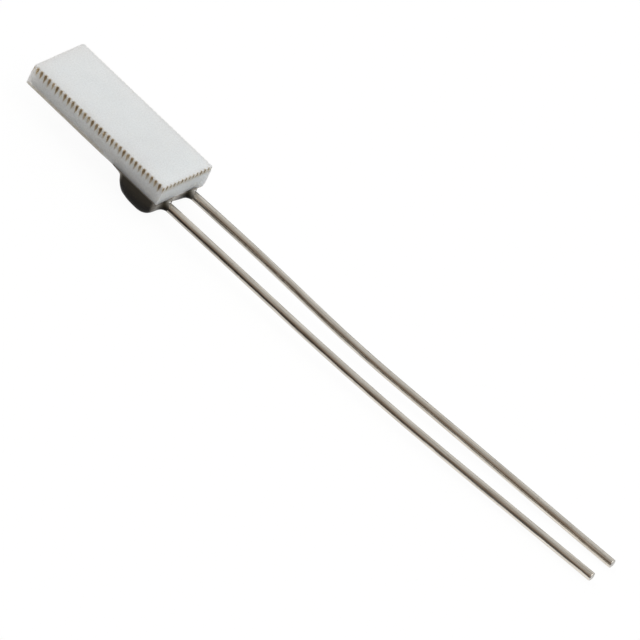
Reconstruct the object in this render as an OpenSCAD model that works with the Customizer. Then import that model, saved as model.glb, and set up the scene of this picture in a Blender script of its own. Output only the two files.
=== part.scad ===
// Thin-film resistance temperature detector: a bare ceramic chip on two welded wire leads.
// The platinum film, its glass cover, the contact pads, the welds and the fixing drop are
// all on the underside, so the snapped and laser-scribed face lies bare on top.
// Origin: centre of the bare face. +X runs along the leads, +Z points out of the bare face.

/* [Ceramic chip] */
// Length of the chip, along the leads
chip_l = 5.0; // [3.4:0.1:8.0]
// Width of the chip, across the leads
chip_w = 1.94; // [1.6:0.01:3.0]
// Thickness of the ceramic
chip_t = 0.635; // [0.4:0.005:1.0]

/* [Snapped edges] */
// Spacing of the laser holes along which the chip was snapped off
scribe_pitch = 0.15; // [0.12:0.01:0.3]
// Radius of a laser hole at its blind end
scribe_tip_r = 0.012; // [0.006:0.002:0.02]
// Radius at the bare face of the holes along the long edges, which are snapped first
scribe_r = 0.04; // [0.03:0.005:0.05]
// Depth of those holes
scribe_depth = 0.2; // [0.1:0.01:0.3]
// Radius at the bare face of the finer holes across the ends, which are snapped last
end_scribe_r = 0.028; // [0.024:0.002:0.05]
// Depth of the finer holes
end_scribe_depth = 0.14; // [0.1:0.01:0.3]

/* [Platinum film] */
// Thickness of the film
film_t = 0.002; // [0.001:0.001:0.005]
// Pairs of long lines in the meander
line_pairs = 9; // [3:1:12]
// Width of a line
line_w = 0.036; // [0.02:0.002:0.05]
// Bare border between the film and the edges of the chip
film_border = 0.16; // [0.1:0.01:0.3]
// Length of the block that is trimmed by laser
trim_l = 0.42; // [0.2:0.02:0.6]
// Width of the block that is trimmed by laser
trim_w = 0.34; // [0.2:0.02:0.5]
// Width of the laser's cut in that block
trim_cut = 0.03; // [0.02:0.005:0.05]
// How far the cut runs into the block, as a share of the block's width
trim_in = 0.6; // [0.3:0.05:0.8]
// How far the cut then runs along the block, as a share of the block's length
trim_along = 0.3; // [0.1:0.05:0.4]

/* [Contact pads] */
// Length of a pad, along the lead
pad_l = 0.95; // [0.7:0.05:1.2]
// Width of a pad
pad_w = 0.6; // [0.4:0.02:0.7]
// Thickness of a pad
pad_t = 0.012; // [0.006:0.002:0.03]
// Distance from the pads to the lead end of the chip
pad_setback = 0.18; // [0.1:0.02:0.4]
// Corner radius of a pad
pad_corner = 0.06; // [0.02:0.01:0.1]

/* [Glass cover] */
// Thickness of the glass over the film
glass_t = 0.024; // [0.016:0.002:0.04]
// Border between the glass and the edges of the chip
glass_border = 0.09; // [0.04:0.01:0.15]
// How far the glass laps over the pads
glass_lap = 0.1; // [0.04:0.02:0.2]
// Corner radius of the glass
glass_corner = 0.12; // [0.05:0.01:0.2]

/* [Leads] */
// Diameter of the wire
wire_d = 0.25; // [0.15:0.01:0.3]
// Distance between the leads' axes at the lead end of the chip
lead_pitch = 1.0; // [0.9:0.02:1.1]
// How far the pair of leads sits to the near side of the chip's centre line
lead_shift = 0.02; // [0:0.01:0.05]
// Length of the far lead beyond the chip
lead_l = 15.1; // [10:0.1:20]
// How much longer the near lead is cut
near_extra = 0.09; // [0:0.01:0.5]
// Length of the welded flat on the end of a lead
weld_l = 0.5; // [0.3:0.05:0.7]
// Thickness of the welded flat
weld_t = 0.14; // [0.1:0.01:0.14]
// Length over which the wire grows out of its flat
weld_taper = 0.15; // [0.1:0.05:0.3]
// Chamfer on the sheared tips
tip_chamfer = 0.03; // [0.01:0.005:0.05]
// Radius of the short downward bend of each lead, beyond the drop
sag_bend_r = 12; // [8:1:20]
// How much thinner a bend draws the wire, on its radius
bend_draw = 0.004; // [0.002:0.001:0.006]

/* [Near lead's bends] */
// Heading where it leaves the chip, in degrees towards +Y
near_heading = 3.0; // [0:0.1:4]
// Length of its straight start
near_start = 3.9; // [1.5:0.1:4.5]
// Angle of its long sideways bend
near_bend = 4.8; // [1:0.1:6]
// Radius of that bend
near_bend_r = 75; // [30:1:80]

/* [Far lead's bends] */
// Heading where it leaves the chip, in degrees towards +Y
far_heading = 3.8; // [0:0.1:4]
// Length of its straight start
far_start = 1.2; // [0.5:0.1:4]
// Angle of its first bend, back towards the near lead
far_back_bend = 2.0; // [0.5:0.1:3]
// Radius of its first bend
far_back_r = 38; // [15:1:60]
// Length of its straight middle
far_middle = 1.8; // [0.5:0.1:4]
// Angle of its second bend, outwards
far_out_bend = 5.1; // [1:0.1:6]
// Radius of its second bend
far_out_r = 33; // [15:1:60]

/* [Fixing drop] */
// Depth of the drop below the ceramic
drop_h = 0.7; // [0.5:0.01:0.9]
// Distance from the lead end of the chip to the drop's lowest point
drop_front_l = 0.57; // [0.4:0.01:0.8]
// Distance from the lowest point back to where the drop's body starts
drop_back_l = 0.78; // [0.6:0.01:1.0]
// Length of the thin foot that runs out behind the body
foot_l = 0.3; // [0.1:0.02:0.5]
// Depth of that foot
foot_h = 0.1; // [0.05:0.01:0.15]
// Gap between the drop and the long edges of the chip
drop_border = 0.008; // [0.004:0.001:0.03]
// Squareness of the drop across the chip: 2 is round, higher is squarer
square_across = 16; // [4:1:20]
// Squareness of the drop's back
square_back = 3.2; // [2:0.1:4]
// Squareness of the drop's front
square_front = 2; // [2:0.1:4]
// How far the front draws back between the leads and beyond the far one
web_recess = 0.06; // [0:0.01:0.12]
// How far the drop creeps out along each lead
collar_l = 0.13; // [0.08:0.01:0.3]
// How far that collar stands out from the wire at the chip
collar_h = 0.05; // [0.03:0.01:0.1]
// Thickness of the collar's outer edge
collar_edge = 0.012; // [0.01:0.002:0.02]

/* [Hidden] */
$fn = 48;
cut = 0.05;                       // how far a cutting solid runs past the face that it opens
lap = 0.01;                       // how far a straight run of wire laps over the bends beside it
wire_r = wire_d / 2;
lead_end = chip_l / 2;            // X of the chip's lead end
pad_x1 = lead_end - pad_setback;
pad_x0 = pad_x1 - pad_l;
film_face = -chip_t - film_t;     // Z of the film's outer face
pad_face = film_face - pad_t;     // Z of the pads' outer faces, which the leads are welded to
rest_z = -chip_t - drop_h;        // Z of the level that the drop and the lead tips rest on
function pad_y(side) = side * lead_pitch / 2 - lead_shift;
weld_x = pad_x0 + (pad_l - weld_l - weld_taper) / 2;
weld_w = PI * pow(wire_r, 2) / weld_t;    // a flattened wire keeps the area of its section
weld_edge_r = weld_t / 3;

// ---- ceramic chip ----

// Laser holes along one snapped edge, from a corner to the next
module scribed_edge(length, r, depth) {
    holes = round(length / scribe_pitch);
    for (i = [0:holes])
        translate([(i / holes - 0.5) * length, 0, -depth])
            cylinder(r1 = scribe_tip_r, r2 = r, h = depth);
}

module substrate() {
    color([0.93, 0.93, 0.91])
    difference() {
        translate([-chip_l / 2, -chip_w / 2, -chip_t])
            cube([chip_l, chip_w, chip_t]);
        for (side = [-1, 1]) {
            translate([0, side * chip_w / 2, 0])
                scribed_edge(chip_l, scribe_r, scribe_depth);
            translate([side * chip_l / 2, 0, 0])
                rotate(90)
                    scribed_edge(chip_w, end_scribe_r, end_scribe_depth);
        }
    }
}

// ---- film, pads and glass ----

line_count = 2 * line_pairs;
film_x0 = -chip_l / 2 + film_border;
trim_x1 = pad_x0 - film_border;
trim_x0 = trim_x1 - trim_l;
film_x1 = trim_x0 - film_border / 2;
feed_x = (trim_x1 + pad_x0) / 2;
film_half_w = chip_w / 2 - film_border - line_w / 2;
function line_y(i) = film_half_w * (2 * i / (line_count - 1) - 1);
top_line = line_y(line_count - 1);
trim_y0 = top_line + line_w / 2 - trim_w;

// Centre line of the meander, from the near pad to the trimmed block
function meander() = concat(
    feed(-1, line_y(0)),
    [for (i = [0:line_count - 2]) let (x = i % 2 == 0 ? film_x0 : film_x1)
        each [[x, line_y(i)], [x, line_y(i + 1)]]],
    [[trim_x0 + trim_cut, top_line]]);

// Centre line from inside a pad to the gap in front of it, and across to a line at height y
function feed(side, y) = [[pad_x0 + line_w, pad_y(side)], [feed_x, pad_y(side)], [feed_x, y]];

// Left-hand normal of the step from point a to point b
function normal(a, b) = [a.y - b.y, b.x - a.x] / norm(b - a);

// One edge of a ribbon with right-angled turns along a path, at distance d to its left
function ribbon_edge(path, d) = let (last = len(path) - 1) [
    for (i = [0:last])
        let (before = i > 0 ? normal(path[i - 1], path[i]) : normal(path[0], path[1]),
             after = i < last ? normal(path[i], path[i + 1]) : before,
             straight = norm(before - after) < 0.001)
        path[i] + d * (straight ? before : before + after)];

function reversed(list) = [for (i = [len(list) - 1:-1:0]) list[i]];

// L-shaped laser cut that runs in from the middle of the block's inner edge and turns along it
module trim_kerf() {
    translate([trim_x0 + trim_l / 2, trim_y0]) {
        square([trim_cut, trim_w * trim_in]);
        translate([0, trim_w * trim_in - trim_cut])
            square([trim_cut + trim_l * trim_along, trim_cut]);
    }
}

module ribbon(path) {
    polygon(concat(ribbon_edge(path, -line_w / 2), reversed(ribbon_edge(path, line_w / 2))));
}

module film_outline() {
    ribbon(meander());
    ribbon(reversed(concat(feed(1, top_line), [[trim_x1 - trim_cut, top_line]])));
    difference() {
        translate([trim_x0, trim_y0])
            square([trim_l, trim_w]);
        trim_kerf();
    }
    for (side = [-1, 1])
        pad_outline(side);
}

module rounded_rectangle(x0, x1, half_w, r) {
    translate([x0 + r, -half_w])
        square([x1 - x0 - 2 * r, 2 * half_w]);
    translate([x0, -half_w + r])
        square([x1 - x0, 2 * (half_w - r)]);
    for (x = [x0 + r, x1 - r])
        for (y = [-half_w + r, half_w - r])
            translate([x, y])
                circle(r);
}

module pad_outline(side) {
    translate([0, pad_y(side)])
        rounded_rectangle(pad_x0, pad_x1, pad_w / 2, pad_corner);
}

module glass_outline() {
    half_w = chip_w / 2 - glass_border;
    rounded_rectangle(-chip_l / 2 + glass_border, pad_x0 + glass_lap, half_w, glass_corner);
}

module platinum_track() {
    color([0.55, 0.55, 0.55])
    translate([0, 0, film_face])
        linear_extrude(film_t)
            film_outline();
}

module contact_pad(side) {
    color([0.8, 0.79, 0.75])
    translate([0, 0, pad_face])
        linear_extrude(pad_t)
            pad_outline(side);
}

module passivation_glass() {
    color([0.72, 0.8, 0.76])
    difference() {
        translate([0, 0, -chip_t - glass_t])
            linear_extrude(glass_t)
                glass_outline();
        platinum_track();
        for (side = [-1, 1])
            contact_pad(side);
    }
}

// ---- leads ----

// Each lead is a chain of steps, each [straight length, bend angle, bend radius, plane].
// A positive angle bends to the left in its plane, which is turned about the wire.
LEVEL = 0;
DOWN = -90;

module bent_wire(steps, i = 0) {
    if (i < len(steps)) {
        straight = steps[i][0];
        angle = steps[i][1];
        r = steps[i][2];
        turned = steps[i][3];
        side = sign(angle);
        lap_before = i > 0 ? lap : 0;
        lap_after = angle != 0 ? lap : 0;
        translate([-lap_before, 0, 0])
            rotate([0, 90, 0])
                cylinder(r = wire_r, h = lap_before + straight + lap_after);
        translate([straight, 0, 0])
            rotate([turned, 0, 0]) {
                if (angle != 0)
                    mirror([0, side < 0 ? 1 : 0, 0])
                        translate([0, r, 0])
                            rotate([0, 0, -90])
                                rotate_extrude(angle = abs(angle))
                                    translate([r, 0])
                                        circle(wire_r - bend_draw);
                translate([r * sin(abs(angle)), side * r * (1 - cos(angle)), 0])
                    rotate([0, 0, angle])
                        rotate([-turned, 0, 0])
                            bent_wire(steps, i + 1);
            }
    } else {
        rotate([0, 90, 0])
            cylinder(r1 = wire_r, r2 = wire_r - tip_chamfer, h = tip_chamfer);
    }
}

// The flat that is pressed on the wire's end when it is welded to its pad
module weld_flat() {
    rotate([90, 0, 90])
        linear_extrude(weld_l)
            translate([0, -weld_t]) {
                translate([weld_edge_r - weld_w / 2, 0])
                    square([weld_w - 2 * weld_edge_r, weld_t]);
                translate([-weld_w / 2, weld_edge_r])
                    square([weld_w, weld_t - 2 * weld_edge_r]);
                for (y = [-1, 1])
                    for (z = [weld_edge_r, weld_t - weld_edge_r])
                        translate([y * (weld_w / 2 - weld_edge_r), z])
                            circle(weld_edge_r);
            }
}

// What the welding press takes off the underside of the round wire
module weld_press() {
    end = weld_l + weld_taper;
    below = -wire_d - cut;
    rotate([90, 0, 0])
        translate([0, 0, -wire_d])
            linear_extrude(2 * wire_d)
                polygon([[-cut, below], [end, below], [end, -wire_d], [weld_l, -weld_t],
                    [-cut, -weld_t]]);
}

start_l = lead_end - weld_x + collar_l;         // straight wire from the weld to the collar's edge
fall = pad_face - wire_d - rest_z;              // how much lower the tips lie than the welds

// Length of wire in a bend
function bend_l(angle, r) = r * angle * PI / 180;

// Downward angle of a lead that reaches so far beyond its collar. The bend at its start
// takes a little off the fall, so its share is added back.
function sag(reach) = asin((fall + sag_bend_r * (1 - cos(asin(fall / reach)))) / reach);

// Y of the start of the weld, so that the wire's axis crosses the lead end of the chip at pad_y
function weld_y(side, heading) = pad_y(side) - (lead_end - weld_x) * tan(heading);

// A lead of a given length beyond the chip, with sideways bends, ending in a straight tip
module lead(side, heading, length, bends) {
    reach = length - collar_l;
    angle = sag(reach);
    bent_l = bend_l(angle, sag_bend_r) + sum([for (b = bends) b[0] + bend_l(abs(b[1]), b[2])]);
    first = [start_l, angle, sag_bend_r, DOWN];
    last = [reach - bent_l, 0, 0, LEVEL];
    color([0.75, 0.73, 0.69])
    translate([weld_x, weld_y(side, heading), pad_face])
        rotate([0, 0, heading]) {
            weld_flat();
            difference() {
                translate([0, 0, -wire_r])
                    bent_wire(concat([first], bends, [last]));
                weld_press();
            }
        }
}

function sum(list, i = 0) = i < len(list) ? list[i] + sum(list, i + 1) : 0;

module lead_near() {
    lead(-1, near_heading, lead_l + near_extra, [[near_start, near_bend, near_bend_r, LEVEL]]);
}

module lead_far() {
    lead(1, far_heading, lead_l, [
        [far_start, -far_back_bend, far_back_r, LEVEL],
        [far_middle, far_out_bend, far_out_r, LEVEL]]);
}

// ---- fixing drop ----

drop_half_w = chip_w / 2 - drop_border;
crest_x = lead_end - drop_front_l;
drop_cols = 30;                   // cells along the drop
drop_rows = 22;                   // cells across it

// A bulge that is 1 at 0 and falls to 0 at 1 and beyond, squarer as n rises
function bulge(s, n) = sqrt(max(0, 1 - pow(min(1, abs(s)), n)));

// Distance from the crest to the drop's front edge at height y
function front_l(y) = let (beyond = max(0, y - pad_y(-1)))
    drop_front_l - web_recess * (1 - cos(360 * beyond / lead_pitch)) / 2;

// X of a point of the drop's grid: crowded towards both ends, where the surface is steep
function column_x(i, y) = let (u = 2 * i / drop_cols - 1)
    crest_x + (u < 0 ? drop_back_l + foot_l : front_l(y)) * sin(90 * u);

function row_y(j) = drop_half_w * sin(90 * (2 * j / drop_rows - 1));

// Depth along the chip: a round front, and behind the crest a squarer body with a thin foot
function depth_along(x, y) = x > crest_x
    ? drop_h * bulge((x - crest_x) / front_l(y), square_front)
    : (drop_h - foot_h) * bulge((crest_x - x) / drop_back_l, square_back)
        + foot_h * bulge((crest_x - x) / (drop_back_l + foot_l), square_back);

function drop_depth(x, y) = depth_along(x, y) * bulge(y / drop_half_w, square_across);

// The drop's skin is a grid over its footprint, closed by a fan on the ceramic
module drop_body() {
    wide = drop_rows + 1;
    skin = [for (i = [0:drop_cols]) for (j = [0:drop_rows])
        let (y = row_y(j), x = column_x(i, y),
             rim = i == 0 || i == drop_cols || j == 0 || j == drop_rows)
        [x, y, -chip_t - (rim ? 0 : drop_depth(x, y))]];
    rim = concat(
        [for (i = [0:drop_cols - 1]) i * wide],
        [for (j = [0:drop_rows - 1]) drop_cols * wide + j],
        [for (i = [drop_cols:-1:1]) i * wide + drop_rows],
        [for (j = [drop_rows:-1:1]) j]);
    centre = len(skin);
    // each cell is split along the diagonal that points at the crest, so no corner lies flat
    cells = [for (i = [0:drop_cols - 1]) for (j = [0:drop_rows - 1])
        let (a = i * wide + j, b = a + wide,
             rising = (2 * i < drop_cols) == (2 * j < drop_rows))
        each rising ? [[a, b, b + 1], [a, b + 1, a + 1]] : [[a, b, a + 1], [b, b + 1, a + 1]]];
    fan = [for (k = [0:len(rim) - 1]) [centre, rim[(k + 1) % len(rim)], rim[k]]];
    polyhedron(concat(skin, [[crest_x, 0, -chip_t]]), concat(cells, fan));
}

// What creeps out of the drop along a lead: rooted inside the drop, and hollow towards its edge
module collar(side) {
    root = drop_front_l / 2;
    r = wire_r + collar_h;
    hollow_r = wire_r + collar_h / 3;
    edge_r = wire_r + collar_edge;
    translate([lead_end, pad_y(side), pad_face - wire_r])
        rotate([0, 90, 0])
            rotate_extrude()
                polygon([[0, -root], [r, -root], [r, 0], [hollow_r, collar_l / 3],
                    [edge_r, collar_l], [0, collar_l]]);
}

// What the drop runs round: the ceramic, the glass and the pads with the film under them
module drop_bed() {
    translate([0, -chip_w / 2, -chip_t])
        cube([lead_end, chip_w, chip_t]);
    translate([0, 0, -chip_t - glass_t])
        linear_extrude(glass_t + cut)
            glass_outline();
    for (side = [-1, 1])
        translate([0, 0, pad_face])
            linear_extrude(film_t + pad_t + cut)
                pad_outline(side);
}

module fixing_drop() {
    color([0.13, 0.12, 0.11])
    difference() {
        union() {
            drop_body();
            collar(-1);
            collar(1);
        }
        drop_bed();
        lead_near();
        lead_far();
    }
}

substrate();
platinum_track();
contact_pad(-1);  // contact_pad_near
contact_pad(1);  // contact_pad_far
passivation_glass();
lead_near();
lead_far();
fixing_drop();
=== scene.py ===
"""Thin-film resistance temperature detector: a bare ceramic chip with its film side down,
two wire leads welded under one end, and the dark drop of fired glaze that holds them.

All positions are in millimetres in the code and in metres in the meshes. The origin is the
centre of the bare face, +X runs along the leads and +Z points out of the bare face.
"""

import math

import bpy
import numpy as np
from bpy.props import FloatProperty, FloatVectorProperty, PointerProperty
from mathutils import Matrix, Vector


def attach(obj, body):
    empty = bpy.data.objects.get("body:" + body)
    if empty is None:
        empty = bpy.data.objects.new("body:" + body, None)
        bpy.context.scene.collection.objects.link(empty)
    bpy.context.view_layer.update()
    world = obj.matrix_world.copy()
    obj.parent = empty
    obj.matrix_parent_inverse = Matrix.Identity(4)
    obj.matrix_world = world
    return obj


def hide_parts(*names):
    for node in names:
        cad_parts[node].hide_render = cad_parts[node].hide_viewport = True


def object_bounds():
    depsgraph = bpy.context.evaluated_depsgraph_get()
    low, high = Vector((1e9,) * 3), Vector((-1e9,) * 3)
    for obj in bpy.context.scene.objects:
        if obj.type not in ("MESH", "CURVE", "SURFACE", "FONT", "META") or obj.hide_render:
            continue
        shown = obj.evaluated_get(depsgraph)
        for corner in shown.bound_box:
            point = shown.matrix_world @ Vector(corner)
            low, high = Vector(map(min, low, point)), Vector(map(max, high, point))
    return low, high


bl_info = {
    "name": "Thin-film temperature detector",
    "version": (1, 0, 0),
    "blender": (4, 5, 0),
    "location": "View3D > Sidebar > Detector",
    "description": "Adds the chip, film, glass, leads and fixing drop of a film detector",
    "category": "Add Mesh",
}

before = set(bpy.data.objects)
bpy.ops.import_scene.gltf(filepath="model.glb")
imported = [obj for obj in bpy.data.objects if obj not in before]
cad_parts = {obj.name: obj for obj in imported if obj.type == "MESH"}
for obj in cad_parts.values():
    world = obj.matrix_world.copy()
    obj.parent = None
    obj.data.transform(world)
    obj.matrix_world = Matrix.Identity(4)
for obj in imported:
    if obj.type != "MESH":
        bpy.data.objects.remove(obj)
CAD_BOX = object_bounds()
BODY = "root"
MM = 0.001
NEAR, FAR = -1, 1
SHARP_ANGLE = 38.0      # degrees between faces beyond which the edge is shaded as a crease
rng = np.random.default_rng(71)


# ---------------- settings


def length(name, default, description):
    """A length property whose default is given in millimetres."""
    return FloatProperty(name=name, description=description, default=default * MM,
                         unit="LENGTH", precision=6)


def angle(name, default, description):
    """An angle property whose default is given in degrees."""
    return FloatProperty(name=name, description=description, default=math.radians(default),
                         subtype="ANGLE")


def colour(name, default, description):
    return FloatVectorProperty(name=name, description=description, default=default,
                               size=3, min=0.0, max=1.0, subtype="COLOR")


class DetectorChip(bpy.types.PropertyGroup):
    length: length("Length", 5.0, "Length of the chip, along the leads")
    width: length("Width", 1.94, "Width of the chip")
    thickness: length("Thickness", 0.635, "Thickness of the ceramic")
    scribe_pitch: length("Hole spacing", 0.15, "Spacing of the laser holes along the edges")
    scribe_radius: length("Hole radius", 0.04, "Radius of a laser hole at the bare face")
    scribe_end: length("Hole end radius", 0.012, "Radius of a laser hole at its blind end")
    scribe_depth: length("Hole depth", 0.2, "Depth of a laser hole")
    edge_radius: length("Edge radius", 0.008, "Rounding of the snapped edges")
    fracture: length("Fracture depth", 0.006, "Unevenness of the snapped faces")
    end_radius: length("End hole radius", 0.028, "Radius at the face of the holes in the ends")
    end_depth: length("End hole depth", 0.14, "Depth of the holes in the ends")
    lip: length("Fracture lip", 0.05, "Lip at the foot of the lead end, beyond the far lead")
    burr: length("Fracture burr", 0.014, "Burr along the foot of the near side, up to the drop")


class DetectorCover(bpy.types.PropertyGroup):
    glass_thickness: length("Glass thickness", 0.024, "Thickness of the glass over the film")
    glass_border: length("Glass border", 0.09, "Border between the glass and the chip's edges")
    glass_edge: length("Glass edge", 0.05, "Width over which the glass thins to nothing")
    glass_end: length("Glass end", 1.47, "X of the end of the glass, over the pads")
    glass_corner: length("Glass corner", 0.12, "Corner radius of the glass")


class DetectorLeads(bpy.types.PropertyGroup):
    diameter: length("Diameter", 0.25, "Diameter of the wire")
    pitch: length("Pitch", 1.0, "Distance between the leads at the end of the chip")
    shift: length("Shift", 0.02, "How far the pair of leads sits to the near side")
    reach: length("Length", 15.1, "Length of the far lead beyond the chip")
    near_extra: length("Near extra", 0.09, "How much longer the near lead is cut")
    weld_length: length("Weld length", 0.5, "Length of the flat at the welded end")
    weld_thickness: length("Weld thickness", 0.14, "Thickness of that flat")
    weld_taper: length("Weld taper", 0.15, "Length over which the wire grows out of its flat")
    weld_start: length("Weld start", 1.52, "X of the welded end")
    pad_face: length("Pad face", -0.649, "Z of the pads' faces, which the leads are welded to")
    tip_radius: length("Tip radius", 0.035, "Rounding of the sheared tips")
    fall: length("Fall", 0.436, "How much lower the tips lie than the welds")
    tip_cone: length("Tip chamfer", 0.03, "Length of the chamfered tips, beyond the lead's length")
    waviness: length("Waviness", 0.0012, "Unevenness left by straightening the wire")


class DetectorDrop(bpy.types.PropertyGroup):
    height: length("Depth", 0.7, "Depth of the drop below the ceramic")
    front: length("Front", 0.57, "Distance from the chip's end to the lowest point")
    back: length("Back", 0.78, "Distance from the lowest point to the start of the body")
    foot: length("Foot", 0.34, "Length of the thin foot behind the body")
    foot_height: length("Foot depth", 0.13, "Depth of that foot")
    fillet: length("Fillet", 0.1, "Depth of the hollow curve between the foot and the body")
    fillet_fade: length("Fillet fade", 0.06, "How quickly that curve falls away from the body")
    border: length("Border", 0.008, "Gap between the drop and the chip's long edges")
    recess: length("Web recess", 0.075, "How far the front draws back between the leads")
    shoulder: length("Shoulder", 0.05, "How far the front bulges on the far side of each lead")
    creep: length("Creep", 0.15, "How far the glaze creeps out along the leads")
    creep_fade: length("Creep fade", 0.045, "How quickly that creep falls away from the wire")
    climb: length("Climb", 0.03, "How far the glaze climbs the end face beside the leads")


class DetectorFinish(bpy.types.PropertyGroup):
    ceramic: colour("Ceramic", (0.9, 0.945, 0.97), "Fired alumina")
    burn_light: colour("Light burn", (0.44, 0.37, 0.26), "Ceramic just tanned by the laser")
    burn_dark: colour("Dark burn", (0.19, 0.135, 0.075), "Ceramic burnt by the laser")
    wire: colour("Wire", (0.9, 0.85, 0.77), "Platinum-clad nickel")
    glaze: colour("Drop", (0.007, 0.0055, 0.0035), "Fired glaze of the fixing drop")
    film: colour("Film", (0.5, 0.5, 0.5), "Platinum film")
    pad: colour("Pads", (0.72, 0.69, 0.62), "Printed and fired metal")
    glass: colour("Glass", (0.82, 0.9, 0.87), "Fired glass over the film")
    floor: colour("Floor", (0.9, 0.9, 0.9), "Floor")


class DetectorStudio(bpy.types.PropertyGroup):
    lens: FloatProperty(name="Lens", description="Focal length, for an almost parallel view",
                        default=1200.0, unit="CAMERA")
    distance: length("Distance", 554.756, "Distance from the camera to what it looks at")
    azimuth: angle("Azimuth", 26.985, "Turn of the camera round the object")
    elevation: angle("Elevation", 38.58, "Height of the camera above the horizon")
    roll: angle("Roll", 25.991, "Turn of the camera about its own axis")
    sky: FloatProperty(name="Sky", description="Strength of the soft light from above",
                       default=1.0)


GROUPS = {
    "detector_chip": DetectorChip,
    "detector_cover": DetectorCover,
    "detector_leads": DetectorLeads,
    "detector_drop": DetectorDrop,
    "detector_finish": DetectorFinish,
    "detector_studio": DetectorStudio,
}


class Sizes:
    """A property group's values, with its lengths turned into millimetres."""

    def __init__(self, group):
        for key, prop in group.bl_rna.properties.items():
            if getattr(prop, "unit", "") == "LENGTH":
                setattr(self, key, getattr(group, key) / MM)
            elif key not in ("rna_type", "name"):
                setattr(self, key, getattr(group, key))


def sizes(context, *names):
    """The values of the scene's property groups with these names."""
    return [Sizes(getattr(context.scene, f"detector_{name}")) for name in names]


# ---------------- surfaces


def smooth_step(x, low, high):
    """0 below low, 1 above high, and 3 t squared minus 2 t cubed between them."""
    t = np.clip((x - low) / (high - low), 0.0, 1.0)
    return t * t * (3 - 2 * t)


def ripple(a, b, seed, octaves=5):
    """Smooth unevenness between -1 and 1: a mean of sines that cross the plane of a and b in
    different directions, each finer than the one before by a factor of 1.7."""
    r = np.random.default_rng(seed)
    total, weight = 0.0, 0.0
    for k in range(octaves):
        fine, strong = 1.7 ** k, 0.75 ** k
        for _ in range(3):
            turn, phase = r.uniform(0, 2 * np.pi, 2)
            wave = fine * (np.cos(turn) * a + np.sin(turn) * b)
            total = total + strong * np.sin(wave + phase)
            weight += strong
    return total / weight * 2


def signed_volume(points, triangles):
    """A sixth of the sum of the triple products of each triangle's corners."""
    a, b, c = (points[triangles[:, k]] for k in range(3))
    return np.einsum("ij,ij->i", a, np.cross(b, c)).sum() / 6


def closed_surface(name, grid, poles, layers=None, along=None, around=1.0):
    """A closed mesh from a grid of points in millimetres. Each row of the grid is a closed
    ring, each ring is joined to the next, and the first and last rings are closed by a fan
    to a pole. layers gives values for points or whole rings under each name, along gives each
    row's UV height and around the UV width of a whole ring."""
    rows, cols = grid.shape[:2]
    points = np.concatenate([grid.reshape(-1, 3), np.asarray(poles, float)]) * MM
    here = np.arange(rows * cols).reshape(rows, cols)
    beside = np.roll(here, -1, axis=1)
    quads = np.stack([here[:-1], beside[:-1], beside[1:], here[1:]], -1).reshape(-1, 4)
    fans = np.concatenate([
        np.stack([np.full(cols, rows * cols), beside[0], here[0]], -1),
        np.stack([np.full(cols, rows * cols + 1), here[-1], beside[-1]], -1)])
    across, up = np.meshgrid(np.arange(cols) / cols * around,
                             np.arange(rows, dtype=float) if along is None else along)
    left, step = np.stack([across, up], -1), np.array([around / cols, 0.0])
    right = left + step
    quad_uv = np.stack([left[:-1], right[:-1], right[1:], left[1:]], 2).reshape(-1, 4, 2)
    ends = left[[0, -1]].reshape(-1, 2)
    fan_uv = np.stack([ends + step / 2, ends, ends + step], 1)
    triangles = np.concatenate([quads[:, :3], quads[:, [0, 2, 3]], fans])
    if signed_volume(points, triangles) < 0:
        quads, quad_uv, fans, fan_uv = (x[:, ::-1] for x in (quads, quad_uv, fans, fan_uv))

    def joined(a, b):
        return np.concatenate([a.ravel(), b.ravel()])

    mesh = bpy.data.meshes.new(name)
    mesh.from_pydata(points.tolist(), [], quads.tolist() + fans.tolist(), shade_flat=False)
    mesh.set_sharp_from_angle(angle=math.radians(SHARP_ANGLE))
    uv = mesh.uv_layers.new(name="UVMap")
    uv.data.foreach_set("uv", joined(quad_uv, fan_uv).astype(np.float32))
    for key, values in (layers or {}).items():
        values = np.broadcast_to(values, (rows, cols))
        at_poles = np.array([values[0].mean(), values[-1].mean()])
        layer = mesh.attributes.new(key, "FLOAT", "POINT")
        layer.data.foreach_set("value", joined(values, at_poles).astype(np.float32))
    if mesh.validate():
        raise RuntimeError(f"{name} came out with broken faces")
    return mesh


def add_piece(name, surface, material, slot, *nodes):
    """An object at the origin that rides on the body and stands for the named CAD nodes.
    surface is what closed_surface takes after the name."""
    mesh = closed_surface(name, *surface)
    piece = bpy.data.objects.new(name, mesh)
    bpy.context.scene.collection.objects.link(piece)
    mesh.materials.append(material)
    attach(piece, BODY)
    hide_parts(*nodes)


def finish_node(node, material):
    """Gives a CAD node its finish."""
    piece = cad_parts[node]
    piece.data.materials.clear()
    piece.data.materials.append(material)


# ---------------- finishes


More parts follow.
